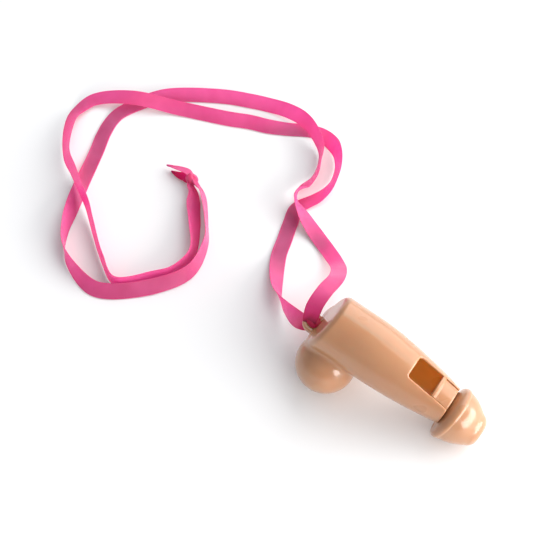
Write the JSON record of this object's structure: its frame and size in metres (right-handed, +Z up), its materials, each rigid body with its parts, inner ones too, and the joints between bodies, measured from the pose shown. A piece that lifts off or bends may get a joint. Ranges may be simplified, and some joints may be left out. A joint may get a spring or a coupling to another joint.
{
  "type": "novelty party whistle",
  "caption": "Adult novelty party whistle: phallus-shaped peach plastic body in two halves, windway insert and mouthpiece, on a hot pink satin ribbon loop tied in one knot.",
  "frame": {"origin": "on the table, below the middle of the whistle's bounding box without its ribbon", "axes": "+X along the whistle towards its mouthpiece, +Y to its left side, +Z up"},
  "size_m": [0.2642, 0.1458, 0.044],
  "materials": {
    "peach_plastic": "glossy, slightly translucent peach",
    "pink_satin": "hot pink double-faced satin"
  },
  "bodies": {
    "root": {"body_left": "peach_plastic", "body_right": "peach_plastic", "windway_insert": "peach_plastic", "mouthpiece": "peach_plastic", "ribbon_bight": "pink_satin", "ribbon_strand_a": "pink_satin", "ribbon_strand_b": "pink_satin", "ribbon_knot": "pink_satin", "ribbon_tail_a": "pink_satin", "ribbon_tail_b": "pink_satin"}
  },
  "joints": []
}
